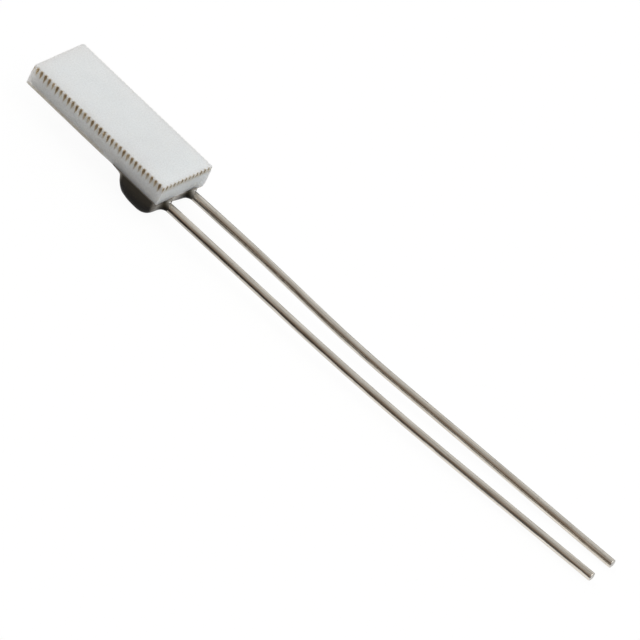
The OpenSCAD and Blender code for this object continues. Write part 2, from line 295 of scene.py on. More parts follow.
class Tree:
    """A node tree that is filled by naming each node's kind and what its inputs take."""

    def __init__(self, owner):
        owner.use_nodes = True
        self.tree = owner.node_tree
        self.tree.nodes.clear()

    def add(self, kind, inputs=None, output=0, **settings):
        """Adds a shader node and returns one of its outputs. An input takes another node's
        output or a value of its own."""
        node = self.tree.nodes.new(f"ShaderNode{kind}")
        for key, value in settings.items():
            setattr(node, key, value)
        for key, value in (inputs or {}).items():
            socket = node.inputs[key]
            if isinstance(value, bpy.types.NodeSocket):
                self.tree.links.new(value, socket)
            elif socket.type == "RGBA":
                socket.default_value = (*value[:3], 1.0)
            else:
                socket.default_value = value
        return node.outputs[output] if node.outputs else None

    def layer(self, name):
        """A share that the mesh stores at its points."""
        return self.add("Attribute", attribute_name=name, output="Fac")

    def seen_by(self, kind):
        """1 for rays of this kind and 0 for the others."""
        return self.add("LightPath", output=f"Is {kind} Ray")

    def scaled(self, vector, factors):
        return self.add("VectorMath", {0: vector, 1: factors}, operation="MULTIPLY")

    def millimetres(self):
        """The object's own coordinates in millimetres."""
        return self.scaled(self.add("TexCoord", output="Object"), (1 / MM,) * 3)

    def along_leads(self):
        """X in millimetres."""
        return self.add("SeparateXYZ", {0: self.millimetres()}, output="X")

    def times(self, a, b):
        return self.add("Math", {0: a, 1: b}, operation="MULTIPLY")

    def plus(self, a, b):
        return self.add("Math", {0: a, 1: b}, operation="ADD")

    def noise(self, vector, scale, detail=3.0, roughness=0.5):
        return self.add("TexNoise", {"Vector": vector, "Scale": scale,
                                               "Detail": detail, "Roughness": roughness})

    def spread(self, value, low, high, to_low=0.0, to_high=1.0):
        """Maps low..high to to_low..to_high and holds the ends."""
        return self.add("MapRange", {0: value, 1: low, 2: high, 3: to_low, 4: to_high})

    def blend(self, factor, a, b):
        """Colour a where the factor is 0 and colour b where it is 1. The mix node's inputs 6
        and 7 and its output 2 are those for colours."""
        return self.add("Mix", {0: factor, 6: a, 7: b}, output=2, data_type="RGBA")

    def mottled(self, noise, tone, share):
        """A colour that runs to a share of itself where the noise is strong."""
        return self.blend(self.spread(noise, 0.3, 0.7), tone, tuple(share * c for c in tone))

    def curve(self, value, stops):
        """A brightness that runs straight from each (value, brightness) stop to the next."""
        bright = self.add("ValToRGB", {0: value})
        ramp = bright.node.color_ramp
        while len(ramp.elements) < len(stops):
            ramp.elements.new(1.0)
        for element, (at, level) in zip(ramp.elements, stops):
            element.position, element.color = at, (level, level, level, 1.0)
        return bright

    def bump(self, height, depth, under=None):
        """A bump whose full height is depth, in millimetres, on top of another bump."""
        inputs = {"Height": height, "Distance": depth * MM, "Strength": 1.0}
        if under is not None:
            inputs["Normal"] = under
        return self.add("Bump", inputs)


def new_material(name, look, finish):
    """A material whose surface is the shader that look makes from the finish's colours."""
    material = bpy.data.materials.new(name)
    t = Tree(material)
    t.add("OutputMaterial", {"Surface": look(t, finish)})
    return material


# the second colour here is painted shade: the shadow between the ceramic's grains
SPECK, GRAIN_SHADE = (0.72, 0.7, 0.66), (0.3, 0.31, 0.32)     # marks in the ceramic
NICK, SCRATCH = (0.36, 0.31, 0.26), (0.25, 0.21, 0.16)     # marks on the wire
STREAK, SHEARED = (0.42, 0.31, 0.19), (0.8, 0.79, 0.77)
GLAZED_WIRE = (0.12, 0.1, 0.07)
THIN_GLAZE = (0.1, 0.085, 0.06)     # browner than the drop's own tone
CERAMIC_BELOW = (0.66, 0.63, 0.58)     # the glaze where it hardly covers the ceramic
WIRE_BELOW = (0.26, 0.235, 0.19)     # the glaze where it hardly covers a lead
# painted highlight: the plain white of a spot on the glaze at each lead's root
PAINTED_HIGHLIGHT = (1.0, 1.0, 1.0)


def alumina_look(t, finish):
    """White alumina: a faint mottle, a few specks, a fine grain flecked with grey painted
    shade that stands for the shadow between its grains, and the laser's burn in and beside
    its holes, from a tan halo to a dark brown wall. Light spreads furthest inside it at the
    back end, and least at the lead end."""
    place = t.millimetres()
    grain = t.noise(place, 38.0, 2.0)
    speck = t.spread(t.noise(place, 11.0, 2.0), 0.68, 0.75)
    # painted shade between the grains, as faint grey flecks
    grain_shade = t.spread(t.noise(place, 24.0, 3.0, 0.7), 0.36, 0.64)
    white = t.mottled(t.noise(place, 1.6, 4.0), finish.ceramic, 0.965)
    white = t.blend(t.times(speck, 0.1), white, SPECK)
    white = t.blend(t.times(grain_shade, 0.2), white, GRAIN_SHADE)
    patchy = t.spread(t.noise(place, 20.0, 3.0), 0.3, 0.7, 0.8, 1.2)
    burn = t.times(t.layer("burn"), patchy)
    tanned = t.blend(t.spread(burn, 0.0, 0.5), white, finish.burn_light)
    x = t.along_leads()
    return t.add("BsdfPrincipled", {
        "Base Color": t.blend(t.spread(burn, 0.4, 1.0), tanned, finish.burn_dark),
        "Normal": t.bump(grain, 0.0012, t.bump(t.noise(place, 9.0, 3.0), 0.002)),
        "Roughness": t.spread(grain, 0.3, 0.7, 0.5, 0.62), "Specular IOR Level": 0.35,
        "Subsurface Weight": 1.0, "Subsurface Radius": (1.0, 0.97, 0.93),
        "Subsurface Scale": t.plus(t.spread(x, 1.5, 2.4, 0.9 * MM, 0.45 * MM),
                                   t.spread(x, -2.5, -2.0, 0.6 * MM, 0.0)),
    })


def wire_look(t, finish):
    """Drawn wire: fine scratches and brown streaks along it, a slow change of tone, the odd
    handling mark, a film of glaze at its root and a rougher face where it was sheared."""
    uv = t.add("UVMap", uv_map="UVMap")

    def marks(around, along, detail, roughness=0.5):
        """Noise stretched along the wire, by its scales round the wire and along it."""
        return t.noise(t.scaled(uv, (around, along, 1.0)), 1.0, detail, roughness)

    lines = marks(32.0, 0.6, 4.0, 0.6)
    tone = marks(5.0, 0.8, 3.0)
    streak = marks(15.0, 0.25, 2.0, 0.6)
    cut = t.layer("cut")
    metal = t.mottled(tone, finish.wire, 0.84)
    for share, over in (
            (t.spread(marks(14.0, 5.0, 2.0), 0.62, 0.72, 0.0, 0.35), NICK),
            (t.spread(lines, 0.38, 0.62, 0.0, 0.36), SCRATCH),
            (t.spread(streak, 0.52, 0.68, 0.0, 0.3), STREAK),
            (t.times(t.layer("coat"), 0.6), GLAZED_WIRE),
            (t.times(cut, 0.8), SHEARED)):
        metal = t.blend(share, metal, over)
    return t.add("BsdfPrincipled", {
        "Base Color": metal, "Metallic": 1.0,
        "Normal": t.bump(lines, 0.0022, t.bump(tone, 0.018, t.bump(streak, 0.004))),
        "Roughness": t.plus(t.spread(lines, 0.25, 0.75, 0.14, 0.26), t.times(cut, 0.35)),
    })


def glaze_look(t, finish):
    """Near-black fired glaze: satin, with faint pits and a browner tone where it is thin. It
    is pale on its foot and on the thin front, where the ceramic shows through, and at the
    leads' roots it bares the wires' upper sides and has a painted highlight on each: one
    small spot of plain white."""
    place = t.millimetres()
    cloud = t.noise(place, 4.0, 4.0)
    pits = t.spread(t.noise(place, 30.0, 2.0), 0.28, 0.42)
    # a painted highlight: the glaze turns plain white where the glint layer is strong
    bright = t.spread(t.layer("glint"), 0.6, 0.9)
    bared = t.times(t.spread(t.layer("clear"), 0.45, 1.0), t.spread(bright, 0.0, 1.0, 1.0, 0.0))
    tone = t.mottled(cloud, finish.glaze, 1.6)
    for share, over in (
            (t.spread(t.layer("thin"), 0.0, 1.0, 0.0, 0.5), THIN_GLAZE),
            (t.times(t.layer("pale"), 0.95), CERAMIC_BELOW), (bared, WIRE_BELOW), (bright, PAINTED_HIGHLIGHT)):
        tone = t.blend(share, tone, over)
    return t.add("BsdfPrincipled", {
        "Base Color": tone, "Normal": t.bump(pits, 0.0012, t.bump(cloud, 0.006)),
        "Roughness": t.spread(cloud, 0.3, 0.7, 0.12, 0.2), "Metallic": bared, "IOR": 1.2,
        "Sheen Weight": 0.12, "Sheen Roughness": 0.25, "Sheen Tint": (0.42, 0.38, 0.26),
    })


def glass_look(t, finish):
    """Thin fired glass: clear enough to show the film, with a soft orange-peel surface."""
    peel = t.noise(t.millimetres(), 6.0, 3.0)
    return t.add("BsdfPrincipled", {
        "Base Color": t.mottled(peel, finish.glass, 0.95), "Normal": t.bump(peel, 0.004),
        "Roughness": 0.14, "IOR": 1.52, "Transmission Weight": 0.9,
    })


def film_look(t, finish):
    """Evaporated platinum: even grey, with the ceramic's grain showing through."""
    place = t.millimetres()
    grain = t.noise(place, 30.0, 3.0)
    return t.add("BsdfPrincipled", {
        "Base Color": t.mottled(t.noise(place, 2.0, 3.0), finish.film, 0.85), "Metallic": 1.0,
        "Roughness": t.spread(grain, 0.3, 0.7, 0.3, 0.42), "Normal": t.bump(grain, 0.0008),
    })


def pad_look(t, finish):
    """Printed metal paste: satin, with the weave of the printing screen."""
    place = t.millimetres()
    grain = t.noise(place, 22.0, 3.0)
    weave = t.add("TexChecker", {"Vector": place, "Scale": 16.0}, output="Fac")
    return t.add("BsdfPrincipled", {
        "Base Color": t.mottled(grain, finish.pad, 0.8), "Metallic": 1.0,
        "Roughness": t.spread(grain, 0.3, 0.7, 0.38, 0.5),
        "Normal": t.bump(grain, 0.002, t.bump(weave, 0.0006)),
    })


# ---------------- ceramic chip

HOLE_STEPS = 6       # columns over half a laser hole
LAND_STEPS = 5       # columns over the land between two holes
HOLE_LEVELS = (0.025, 0.045, 0.07, 0.1, 0.125, 0.14, 0.162, 0.18, 0.2, 0.222, 0.26)
HOLE_CURVE = 2.3     # 1 for a hole that narrows evenly, more for one that narrows late
RAGGED = 0.06        # unevenness of a hole's wall, as a share of its radius
CLEAN_SIZE = 0.6     # size of the holes along the far and back edges, against the others
CORNER_SIZE = 0.75   # size of the corners' holes, against the holes of the long edges
CHIPPED_DOWN = 0.014     # how far a land's edge is chipped away, at the most
CHIPPED_IN = 0.007
SOOTY_ENDS = 1.5     # soot on the end edges, against the long edges
EDGE_TURNS = (0.0, 0.5, 1.0)     # shares of the quarter turn over a rounded edge
# How strongly a hole's wall is burnt at each share of its depth
STAIN_DEPTHS = (0.0, 0.125, 0.225, 0.375, 0.5, 0.65, 0.825, 1.0, 1.15, 1.35)
STAINS = (0.6, 0.85, 0.95, 0.9, 0.72, 0.58, 0.5, 0.4, 0.16, 0.0)


def chip_outline(s):
    """The chip's rim at its bare face, walked round from the near back corner. Each column of
    the rim is a point base + radius * reach, so one outline serves every radius of the
    tapering holes: on a hole's wall base is the hole's centre and reach turns from the
    inward normal to the edge, and on the land between two holes base moves from one centre
    to the next while reach turns over. flat is the same column below the holes, where the
    wall is plain. Returns base, reach, flat, inset direction, outward normal, share across
    the land, whether the column is on a hole, the hole's size and soot, and whether it is in
    one of the ends."""
    corner = np.array([[-1, -1], [1, -1], [1, 1], [-1, 1]]) * [s.length / 2, s.width / 2]
    quarter = np.arange(HOLE_STEPS) / HOLE_STEPS
    counts = (HOLE_STEPS, LAND_STEPS, HOLE_STEPS - 1)
    # for each column from one hole to the next: whether it is on the first hole's wall or on
    # the next one's, its turn as a share of a quarter, its share of the way over the land,
    # and the way the land is bevelled at its ends
    leaving = np.repeat([1.0, 0.0, 0.0], counts)
    entering = np.repeat([0.0, 0.0, 1.0], counts)
    quarter_turn = np.concatenate([quarter, np.ones(LAND_STEPS), 1 - quarter[1:]])
    share = entering.copy()
    share[HOLE_STEPS:-HOLE_STEPS + 1] = np.linspace(0, 1, LAND_STEPS)
    on_hole = leaving + entering
    bevel = ((share == 0) * 1.0 - (share == 1)) * (1 - on_hole)
    parts = []
    for k in range(4):
        a, b = corner[k], corner[(k + 1) % 4]
        at_end = k % 2
        span = np.linalg.norm(b - a)
        t = (b - a) / span
        n = np.array([-t[1], t[0]])
        holes = round(span / s.scribe_pitch)
        i = np.arange(holes)[:, None]
        # a corner's hole is shared by two edges, so each of them starts it halfway
        first, last = (i == 0) * leaving, (i == holes - 1) * entering
        start = np.pi / 4 * (first + last)
        turn = start + (np.pi / 2 - start) * quarter_turn
        inwards, onwards = np.cos(turn) * on_hole, np.sin(turn) * (1 - 2 * share)
        reach = inwards[..., None] * n + onwards[..., None] * t
        flat = (onwards + inwards * (last - first))[..., None] * t
        base = a + (b - a) * ((i + share) / holes)[..., None]
        inset = reach * on_hole[:, None] + np.outer(1 - on_hole, n) + np.outer(bevel, t)
        size = rng.uniform(0.84, 1.06, holes + 1) * (1.0 if k < 2 else CLEAN_SIZE)
        size[[0, -1]] = CORNER_SIZE * s.scribe_radius / (s.end_radius if at_end else s.scribe_radius)
        soot = rng.uniform(0.62, 1.0, holes + 1) * (SOOTY_ENDS if at_end else 1.0)
        size, soot = (v[:-1, None] + np.diff(v)[:, None] * share for v in (size, soot))
        shape = (holes, len(share))
        columns = [base, reach, flat, inset, np.broadcast_to(-n, (*shape, 2))]
        for value in (share * (1 - on_hole), on_hole, size, soot, at_end):
            columns.append(np.broadcast_to(value, shape)[..., None])
        parts.append(np.concatenate(columns, axis=2).reshape(holes * len(share), -1))
    rim = np.concatenate(parts)
    return [rim[:, 0:2], rim[:, 2:4], rim[:, 4:6], rim[:, 6:8], rim[:, 8:10], *rim[:, 10:].T]


class ChipWall:
    """The chip's outline, what varies round it, and the shape of the wall at each level."""

    def __init__(self, s):
        (self.base, self.reach, self.flat, self.inset, self.outward, self.land, self.on_hole,
         size, self.soot, self.at_end) = chip_outline(s)
        self.s, self.count = s, len(self.base)
        self.side = np.array([s.length, s.width]) / 2
        x, y = self.base.T
        out_x, out_y = self.outward.T
        self.walked = np.arange(self.count) * (2 * (s.length + s.width) / self.count)
        hole = np.arange(self.count) // (2 * HOLE_STEPS - 1 + LAND_STEPS)
        self.nibble = (rng.uniform(0.0, 1.0, hole.max() + 1)[hole] ** 3
                       * np.sin(np.pi * self.land))
        self.mouth = size * np.where(self.at_end, s.end_radius, s.scribe_radius)
        self.tip = size * s.scribe_end
        self.plain = self.base + self.tip[:, None] * self.flat
        self.depth = np.where(self.at_end, s.end_depth, s.scribe_depth)
        from_corner = (self.side - np.abs(self.base + s.scribe_end * self.flat)).max(axis=1)
        self.away = smooth_step(from_corner, 0.0, 0.06)
        # the lip lies beyond the far lead; the burr, and a browning of the wall towards its
        # foot, on the near side up to the drop; and the far and back edges are clean
        self.lip = s.lip * (out_x > 0.5) * (smooth_step(y, 0.5, 0.68)
                                            * (1 - smooth_step(y, 0.8, 0.97)))
        self.tanned = (out_y < -0.5) * (1 - smooth_step(x, 0.2, 0.8))
        self.clean = (out_y > 0.5) | (out_x < -0.5)
        # the burn at the rim: in the holes, less on the lands beside them, and at one corner
        beside = np.exp(-np.minimum(self.land, 1 - self.land) * 5) * (1 - self.on_hole)
        scorched = np.exp(-((self.base + self.side) ** 2).sum(axis=1) / 0.05 ** 2)
        self.sooty = np.maximum((self.on_hole + 0.6 * beside) * self.soot, 0.9 * scorched)
        self.haze = np.where(self.at_end, 0.26, 0.15)

    def holed(self, z):
        """The wall at a level above the holes' ends. A hole's radius falls from the mouth's
        to the end's by the share of the depth to the power of HOLE_CURVE."""
        shrunk = np.clip(-z / self.depth, 0, 1) ** HOLE_CURVE
        radius = self.tip + (self.mouth - self.tip) * (1 - shrunk)
        facing = np.abs((self.reach * self.outward).sum(axis=1)) ** 2
        ragged = ripple(self.walked * 60, np.full(self.count, z * 60), 5) * self.on_hole * facing
        return self.base + (radius * (1 + RAGGED * ragged))[:, None] * self.reach

    def inside(self, points, least):
        """Moves points straight in from the rim until they are at least so far inside it."""
        inward = np.abs(self.outward) @ self.side - (points * self.outward).sum(axis=1)
        return points - self.outward * np.maximum(0, least - inward)[:, None]

    def uneven(self, z):
        """What the break adds to the wall at a level: it is pushed in by its unevenness, and
        pushed out towards the foot by the lip and the burr."""
        s = self.s
        broken = ripple(self.walked * 3.1, np.full(self.count, z * 9), 11)
        out = (self.lip * smooth_step(-z, 0.3, s.thickness)
               - s.fracture * (0.5 + 0.5 * broken) * self.away)
        burr = s.burr * self.tanned * self.away
        out = out + burr * smooth_step(-z, s.thickness - 0.1, s.thickness - 0.02)
        return self.outward * out[:, None]


def face_rings(wall, e):
    """Rings from the middle of the bare face out and over its rim. In the first ring clear
    of the holes each column goes straight in, but is squeezed along its edge within the
    corner's last hole."""
    rim, side, outward = wall.holed(0.0), wall.side, wall.outward
    halo = wall.inside(rim + wall.inset * 1.5 * e, 1.5 * e)
    clear, corner_zone = 0.08, 0.095
    gap = side - np.abs(halo)
    squeezed = side - np.where(gap < corner_zone, clear + gap * (1 - clear / corner_zone), gap)
    inner = np.where(outward == 0, np.sign(halo) * squeezed, outward * (side - clear))
    for inward in (0.5, 0.2, clear):
        yield inner * (side - inward) / (side - clear), 0.0, 0.0
    faint = np.where(wall.clean, 0.02, np.where(wall.at_end, 0.1, 0.24))
    yield halo, 0.0, np.maximum(wall.sooty, 0.6) * faint
    edge = wall.inside(rim + wall.inset * 1.2 * e, 1.2 * e)
    yield edge, 0.0, np.maximum(wall.sooty * 1.3, 0.8) * faint
    for turn in EDGE_TURNS:
        bend = turn * np.pi / 2
        down = e * (1 - np.cos(bend)) + CHIPPED_DOWN * wall.nibble * turn
        draw = e * (1 - np.sin(bend)) + CHIPPED_IN * wall.nibble * turn
        burn = np.maximum(wall.sooty * (0.3 + 0.2 * turn) * (1 - 0.5 * wall.at_end), wall.haze)
        edge = wall.inside(rim + wall.inset * draw[:, None], draw)
        yield edge, -down, burn * (1 - 0.9 * wall.clean)


def wall_rings(wall, e):
    """Rings down past the holes, which run into the plain wall at their ends, to its foot."""
    soot, at_end, on_land = wall.soot, wall.at_end, 1 - wall.on_hole
    for level in HOLE_LEVELS:
        below = smooth_step(level, wall.depth, wall.depth + 0.02)[:, None]
        started = on_land[:, None] * smooth_step(level, 0.0, 0.06)
        rough = wall.uneven(-level) * np.maximum(below, started)
        shallow = np.where(at_end, 1.1, 1.25 - 0.35 * soot)
        stain = np.interp(level / wall.depth * shallow, STAIN_DEPTHS, STAINS)
        stain = stain * np.where(at_end, 0.4 + 0.6 * smooth_step(level, 0.02, 0.06), 1.0)
        tan = wall.haze * (1 - smooth_step(level, 0.1, 0.26))
        yield (wall.holed(-level) * (1 - below) + wall.plain * below + rough, -level,
               np.maximum(wall.sooty * stain, tan))
    foot = -wall.s.thickness
    # down the plain wall the burn layer only browns the near side towards its foot, up to the drop,
    # and the last ring browns the whole foot's edge
    for z in np.linspace(-0.3, foot + 4 * e, 9):
        yield wall.plain + wall.uneven(z), z, 0.5 * wall.tanned * smooth_step(-z, 0.48, 0.62)
    last = foot + 2 * e
    yield wall.plain + wall.uneven(last), last, 0.35 + 0.25 * wall.tanned


def foot_rings(wall, e):
    """Rings over the rounded foot and in underneath."""
    foot = -wall.s.thickness
    low = wall.plain + wall.uneven(foot)
    # the rounded foot and a thin band underneath it are browned all round
    for turn in EDGE_TURNS:
        bend = turn * np.pi / 2
        draw = e * (1 - np.cos(bend))
        yield low * (1 - draw / wall.side), foot + e * (1 - np.sin(bend)), 0.7
    for inward, stain in ((0.011, 0.6), (0.04, 0.1), (0.2, 0.0), (0.5, 0.0)):
        yield low * (1 - inward / wall.side), foot, stain


def chip_surface(s):
    """The chip as rings from the centre of its bare face, out over the rim, down the snapped
    walls and in again underneath. Returns the rings, their poles and the burn layer: how
    brown each point is, from the laser's burn at the holes and a browning towards the foot."""
    wall = ChipWall(s)
    rows, burns = [], []
    for rings in (face_rings, wall_rings, foot_rings):
        for points, z, burn in rings(wall, s.edge_radius):
            rows.append(np.column_stack([points, np.broadcast_to(z, wall.count)]))
            burns.append(np.broadcast_to(burn, wall.count))
    poles = [(0, 0, 0), (0, 0, -s.thickness)]
    return np.stack(rows), poles, {"burn": np.stack(burns)}


class DETECTOR_OT_chip(bpy.types.Operator):
    """Adds the ceramic chip with its laser holes and snapped edges"""

    bl_idname = "detector.chip"
    bl_label = "Ceramic chip"
    bl_options = {"REGISTER", "UNDO"}

    def execute(self, context):
        s, finish = sizes(context, "chip", "finish")
        alumina = new_material("fired_alumina", alumina_look, finish)
        add_piece("ceramic_chip", chip_surface(s), alumina, "alumina", "substrate")
        return {"FINISHED"}


# ---------------- film, pads and glass


class DETECTOR_OT_film(bpy.types.Operator):
    """Gives the platinum film and the contact pads their finish"""

    bl_idname = "detector.film"
    bl_label = "Film and pads"
    bl_options = {"REGISTER", "UNDO"}

    def execute(self, context):
        finish = sizes(context, "finish")[0]
        film = new_material("platinum_film", film_look, finish)
        finish_node("platinum_track", film)
        pads = new_material("printed_pad", pad_look, finish)
        finish_node("contact_pad_near", pads)
        finish_node("contact_pad_far", pads)
        return {"FINISHED"}


def rounded_outline(x0, x1, half_width, radius, count):
    """A rectangle with round corners, as count points at even spacing round it: each corner
    is a quarter circle, and what remains of each side is straight."""
    arcs = []
    for k, signs in enumerate(([1, 1], [-1, 1], [-1, -1], [1, -1])):
        centre = np.multiply(signs, [(x1 - x0) / 2 - radius, half_width - radius])
        turn = np.linspace(0, np.pi / 2, 13) + k * np.pi / 2
        arcs.append(centre + [(x0 + x1) / 2, 0] + radius * np.stack([np.cos(turn), np.sin(turn)], -1))
    path = np.concatenate(arcs + [arcs[0][:1]])
    walked = np.concatenate([[0], np.cumsum(np.linalg.norm(np.diff(path, axis=0), axis=1))])
    at = np.arange(count) / count * walked[-1]
    return np.stack([np.interp(at, walked, path[:, k]) for k in range(2)], -1)


GLASS_COLUMNS = 320
GLASS_OVERLAP = 0.0015     # how far the glass reaches into the ceramic
GLASS_WAVE = 0.0012        # unevenness of its face, which only makes it thinner


def glass_surface(chip, cover):
    """The glass as rings from inside the ceramic, out to its rim and in over its face. Its
    depth rises from nothing at the rim as a quarter circle, and its rim wanders a little, as
    printed paste does."""
    half = chip.width / 2 - cover.glass_border
    x0 = -chip.length / 2 + cover.glass_border
    rim = rounded_outline(x0, cover.glass_end, half, cover.glass_corner, GLASS_COLUMNS)
    middle = np.array([(x0 + cover.glass_end) / 2, 0.0])
    along_side = np.abs(rim[:, 1]) > half - cover.glass_corner
    inward = np.sign(middle - rim) * np.stack([~along_side, along_side], -1)
    wander = 0.006 * (1 + ripple(rim[:, 0] * 9, rim[:, 1] * 9, 23))
    rim = rim + inward * wander[:, None]
    top, face = -chip.thickness + GLASS_OVERLAP, -chip.thickness - cover.glass_thickness
    rows = [middle + (rim - middle) * 0.5, rim + inward * 0.03]
    levels = [top, top]
    for turn in np.linspace(0, np.pi / 2, 7):
        rows.append(rim + inward * cover.glass_edge * (1 - np.cos(turn)))
        levels.append(-chip.thickness - cover.glass_thickness * np.sin(turn))
    last = rows[-1]
    for inset in (0.9, 0.75, 0.55, 0.3):
        ring = middle + (last - middle) * inset
        rows.append(ring)
        levels.append(face + GLASS_WAVE * (1 + ripple(ring[:, 0] * 2.4, ring[:, 1] * 2.4, 29)))
    levels = np.stack([np.broadcast_to(level, GLASS_COLUMNS) for level in levels])
    grid = np.concatenate([np.stack(rows), levels[..., None]], axis=2)
    return grid, [(*middle, top), (*middle, face)]


class DETECTOR_OT_glass(bpy.types.Operator):
    """Adds the fired glass over the platinum film"""

    bl_idname = "detector.glass"
    bl_label = "Cover glass"
    bl_options = {"REGISTER", "UNDO"}

    def execute(self, context):
        chip, cover, finish = sizes(context, "chip", "cover", "finish")
        glass = new_material("cover_glass", glass_look, finish)
        add_piece("cover_glass", glass_surface(chip, cover), glass, "cover_glass",
                  "passivation_glass")
        return {"FINISHED"}


# ---------------- leads

# Sideways bends of each lead, in order: straight run before it, turn in degrees towards
# the far side, and radius. All lengths are in millimetres.
LEAD_BENDS = {
    NEAR: {"heading": 3.0, "bends": ((3.9, 4.8, 75.0),)},
    FAR: {"heading": 3.8, "bends": ((1.2, -2.0, 38.0), (1.8, 5.1, 33.0))},
}
SAG_RADIUS = 12.0
STRAIGHT_START = 0.13     # straight wire beyond the chip, inside the creep of the glaze
RING = 40                 # points round a wire
RING_GAP = 0.045          # distance between the rings of the round wire
WELD_POWER = 4.0          # squareness of the flat; a circle has 2
WELD_END = 0.9            # size of the welded end's face, against the flat
TIP_FACE = 0.0004         # how far the sheared face stands out in its middle
COAT = (0.05, 0.35)       # the film of glaze on a root fades between these, past the chip


def turned(along, bends):
    """Angle of the wire at each distance along it, and where the last bend ends: each bend
    adds its turn evenly over its own length, which is its radius times its turn."""
    total, at = np.zeros_like(along), 0.0
    for straight, degrees, radius in bends:
        turn = math.radians(degrees)
        at += straight
        size = abs(turn) * radius
        total += turn * np.clip((along - at) / size, 0, 1)
        at += size
    return total, at


def lead_path(side, leads, along, rooted, reach):
    """One lead's axis and the directions ahead, sideways and upwards at each distance along
    it. The direction ahead is the lead's heading, then its dip, then its sideways turns, and
    the axis is the running sum of those directions, with a little unevenness."""
    plan = LEAD_BENDS[side]
    start_run = rooted + STRAIGHT_START
    first = math.asin(leads.fall / reach)
    dip = math.asin((leads.fall + SAG_RADIUS * (1 - math.cos(first))) / reach)
    dipped, sagged = turned(along, [(start_run, math.degrees(dip), SAG_RADIUS)])
    (straight, *bend), *later = plan["bends"]
    yaw, _ = turned(along, [(straight + sagged, *bend), *later])
    head = math.radians(plan["heading"])

    def axis(x, y, z):
        """Tilts directions by the dip and then turns them by the heading."""
        level = x * np.cos(dipped) + z * np.sin(dipped)
        return np.stack([level * np.cos(head) - y * np.sin(head),
                         level * np.sin(head) + y * np.cos(head),
                         z * np.cos(dipped) - x * np.sin(dipped)], -1)

    zero = np.zeros_like(along)
    ahead = axis(np.cos(yaw), np.sin(yaw), zero)
    sideways = axis(-np.sin(yaw), np.cos(yaw), zero)
    upwards = axis(zero, zero, zero + 1)
    steps = np.diff(along)[:, None] * (ahead[1:] + ahead[:-1]) / 2
    path = np.concatenate([[np.zeros(3)], np.cumsum(steps, axis=0)])
    pad_y = side * leads.pitch / 2 - leads.shift
    path += [leads.weld_start, pad_y - rooted * math.tan(head), leads.pad_face - leads.diameter / 2]
    wander = leads.waviness * smooth_step(along, start_run, start_run + 1.0)
    path += sideways * (wander * ripple(along * 2.2, zero, 31 + side, 4))[:, None]
    path += upwards * (wander * (1 + ripple(along * 1.9, zero, 41 + side, 4)))[:, None]
    return path, ahead, sideways, upwards


def lead_surface(side, leads, chip):
    """One lead as rings carried along its path. Each ring is a superellipse: a flattened,
    squarish one on the weld, a circle beyond it, and circles that shrink round the sheared
    tip. Returns the rings, their poles, the layers coat (glaze on the root) and cut (the
    sheared face), and the UV heights and width."""
    r = leads.diameter / 2
    rooted = chip.length / 2 - leads.weld_start
    reach = leads.reach + (leads.near_extra if side == NEAR else 0.0) - STRAIGHT_START
    total = rooted + STRAIGHT_START + reach + leads.tip_cone
    tip = leads.tip_radius
    grown_at = leads.weld_length + leads.weld_taper
    round_off = np.linspace(0, np.pi / 2, 7)
    along = np.concatenate([
        np.linspace(0, leads.weld_length, 9),
        leads.weld_length + np.linspace(0, leads.weld_taper, 9)[1:],
        np.arange(grown_at + 0.04, total - tip, RING_GAP),
        total - tip + tip * np.sin(round_off)])
    along[-1] = total - TIP_FACE
    path, ahead, sideways, upwards = lead_path(side, leads, along, rooted, reach)

    grown = smooth_step(along, leads.weld_length, grown_at)
    flat_half = leads.weld_thickness / 2
    wide = np.pi * r * r / leads.weld_thickness / 2
    half_w = wide + (r - wide) * grown
    half_h = flat_half + (r - flat_half) * grown
    middle = path + upwards * (r - half_h)[:, None]
    power = WELD_POWER + (2.0 - WELD_POWER) * grown
    shrink = np.ones_like(along)
    shrink[-len(round_off):] = 1 - tip / r * (1 - np.cos(round_off))
    shrink[0] = WELD_END
    turn = np.arange(RING) / RING * 2 * np.pi
    c, d = np.cos(turn), np.sin(turn)
    across = np.sign(c) * np.abs(c) ** (2 / power[:, None]) * (half_w * shrink)[:, None]
    up = np.sign(d) * np.abs(d) ** (2 / power[:, None]) * (half_h * shrink)[:, None]
    grid = middle[:, None] + across[..., None] * sideways[:, None] + up[..., None] * upwards[:, None]
    poles = [grid[0].mean(axis=0), middle[-1] + ahead[-1] * TIP_FACE]
    coat = 1 - smooth_step(along, rooted + COAT[0], rooted + COAT[1])
    cut = smooth_step(along, total - 0.6 * tip, total - 0.3 * tip)
    layers = {"coat": coat[:, None], "cut": cut[:, None]}
    return grid, poles, layers, along + (side + 1) * 20, np.pi * leads.diameter


class DETECTOR_OT_leads(bpy.types.Operator):
    """Adds the two wire leads, from their welded flats to their sheared tips"""

    bl_idname = "detector.leads"
    bl_label = "Wire leads"
    bl_options = {"REGISTER", "UNDO"}

    def execute(self, context):
        chip, leads, finish = sizes(context, "chip", "leads", "finish")
        wire = new_material("drawn_wire", wire_look, finish)
        for side, word in ((NEAR, "near"), (FAR, "far")):
            surface = lead_surface(side, leads, chip)
            add_piece(f"wire_lead_{word}", surface, wire, "lead_wire", f"lead_{word}")
        return {"FINISHED"}


# ---------------- fixing drop

PROFILES = 221           # profiles across the drop
BACK_POWER = 3.2         # squareness of its back; a quarter circle has 2
SIDE_POWER = 16          # squareness of its sides
FRONT_TURN = 1.13        # the front's points are spaced by angle up to here, then by depth
CLIMB_WIDTH = 0.19       # half the width of the glaze's climb beside a lead
BARED_SIDE = (0.66, 0.75)     # y and z of the way a lead's barest side faces
# the glint below is a painted highlight on the glaze at each lead's root
GLINT_WIDTH = 0.035      # how quickly the bright spot fades away from the wire
ROOF = 0.002             # how far the drop reaches into the ceramic


